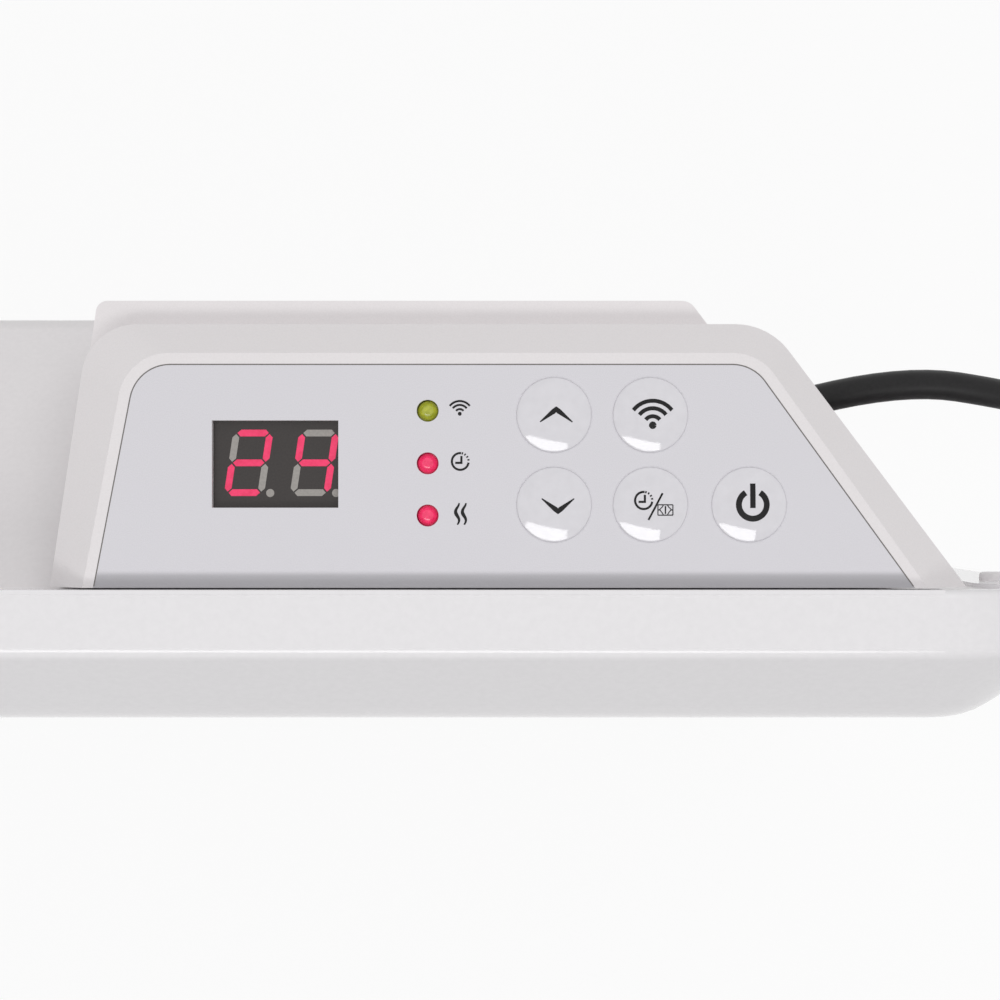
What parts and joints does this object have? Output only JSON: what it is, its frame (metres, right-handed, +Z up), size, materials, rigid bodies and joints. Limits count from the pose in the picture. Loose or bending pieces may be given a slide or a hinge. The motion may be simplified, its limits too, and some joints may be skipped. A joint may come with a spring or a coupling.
{
  "type": "panel heater",
  "caption": "Slim steel panel heater on two feet, with a raised push-button control housing, digital display and status lamps on its right shoulder, and a mains lead with plug.",
  "frame": {"origin": "centre of the heater's bounding box on the floor, without its free mains lead", "axes": "+Z up, the front panel faces -Y, +X is to the right seen from the front, along the panel's width"},
  "size_m": [0.966, 0.1698, 0.455],
  "materials": {
    "panel_steel": "gloss white powder coat on pressed steel",
    "case_steel": "satin white powder coat on pressed steel",
    "housing_plastic": "fine-textured white moulded plastic",
    "button_plastic": "polished white moulded plastic",
    "fascia_foil": "silver grey printed film",
    "dark_plastic": "black moulded plastic",
    "lamp_resin": "tinted clear resin",
    "board_green": "glass fibre board with green resist",
    "element_aluminium": "mill finish",
    "zinc_steel": "zinc plated sheet",
    "screw_steel": "zinc plated",
    "brass_weight": "turned",
    "ceramic_white": "unglazed steatite",
    "cable_grey": "grey moulded plastic",
    "cord_black": "satin black flexible PVC",
    "pin_nickel": "nickel plated brass",
    "foot_plastic": "fine-textured white moulded plastic",
    "pad_rubber": "matt grey rubber"
  },
  "bodies": {
    "heater": {"air_sensor": "lamp_resin", "board_screws": "screw_steel", "bracket_screws": "screw_steel", "cable_gland": "cord_black", "capacitors": "dark_plastic", "case_screws": "screw_steel", "ceramic_bushes": "ceramic_white", "control_board": "board_green", "cord_coil": "cord_black", "cord_tail": "cord_black", "cutout_bracket": "zinc_steel", "cutout_lead": "cord_black", "display_module": "dark_plastic", "earth_lead": "cord_black", "earth_nut": "screw_steel", "earth_stud": "screw_steel", "earth_tag": "brass_weight", "element_brackets": "zinc_steel", "element_lead": "cord_black", "fascia_film": "fascia_foil", "foot_left": "foot_plastic", "foot_pads": "pad_rubber", "foot_right": "foot_plastic", "foot_screws": "screw_steel", "front_panel": "panel_steel", "heat_baffle": "zinc_steel", "heating_element": "element_aluminium", "housing_base": "housing_plastic", "housing_cover": "housing_plastic", "housing_screws": "screw_steel", "inner_lead": "cord_black", "key_switches": "dark_plastic", "lamp_heat": "lamp_resin", "lamp_timer": "lamp_resin", "lamp_wifi": "lamp_resin", "mains_cord": "cord_black", "plug_body": "cord_black", "plug_contacts": "pin_nickel", "power_board": "board_green", "power_board_posts": "cable_grey", "power_relay": "dark_plastic", "rear_case": "case_steel", "ribbon_cable": "cable_grey", "sensor_clip": "cable_grey", "supply_transformer": "dark_plastic", "terminal_block": "cable_grey", "terminal_screws": "screw_steel", "thermal_cutout": "dark_plastic", "tilt_box": "dark_plastic"},
    "up_button": {"button_up": "button_plastic", "plunger_up": "dark_plastic"},
    "down_button": {"button_down": "button_plastic", "plunger_down": "dark_plastic"},
    "wifi_button": {"button_wifi": "button_plastic", "plunger_wifi": "dark_plastic"},
    "timer_button": {"button_timer": "button_plastic", "plunger_timer": "dark_plastic"},
    "power_button": {"button_power": "button_plastic", "plunger_power": "dark_plastic"},
    "tilt_pendulum": {"tilt_weight": "brass_weight"}
  },
  "joints": [
    {"name": "up_press", "type": "slide", "parent": "heater", "child": "up_button", "axis": [0, 0, -1], "range_m": [0, 0.0004], "stiffness_N_per_m": 4000, "springref_m": -0.0002},
    {"name": "down_press", "type": "slide", "parent": "heater", "child": "down_button", "axis": [0, 0, -1], "range_m": [0, 0.0004], "stiffness_N_per_m": 4000, "springref_m": -0.0002},
    {"name": "wifi_press", "type": "slide", "parent": "heater", "child": "wifi_button", "axis": [0, 0, -1], "range_m": [0, 0.0004], "stiffness_N_per_m": 4000, "springref_m": -0.0002},
    {"name": "timer_press", "type": "slide", "parent": "heater", "child": "timer_button", "axis": [0, 0, -1], "range_m": [0, 0.0004], "stiffness_N_per_m": 4000, "springref_m": -0.0002},
    {"name": "power_press", "type": "slide", "parent": "heater", "child": "power_button", "axis": [0, 0, -1], "range_m": [0, 0.0004], "stiffness_N_per_m": 4000, "springref_m": -0.0002},
    {"name": "tilt_swing", "type": "hinge", "parent": "heater", "child": "tilt_pendulum", "pos_m": [0.196, 0.024, 0.208], "axis": [1, 0, 0], "range_deg": [-25, 25]}
  ]
}
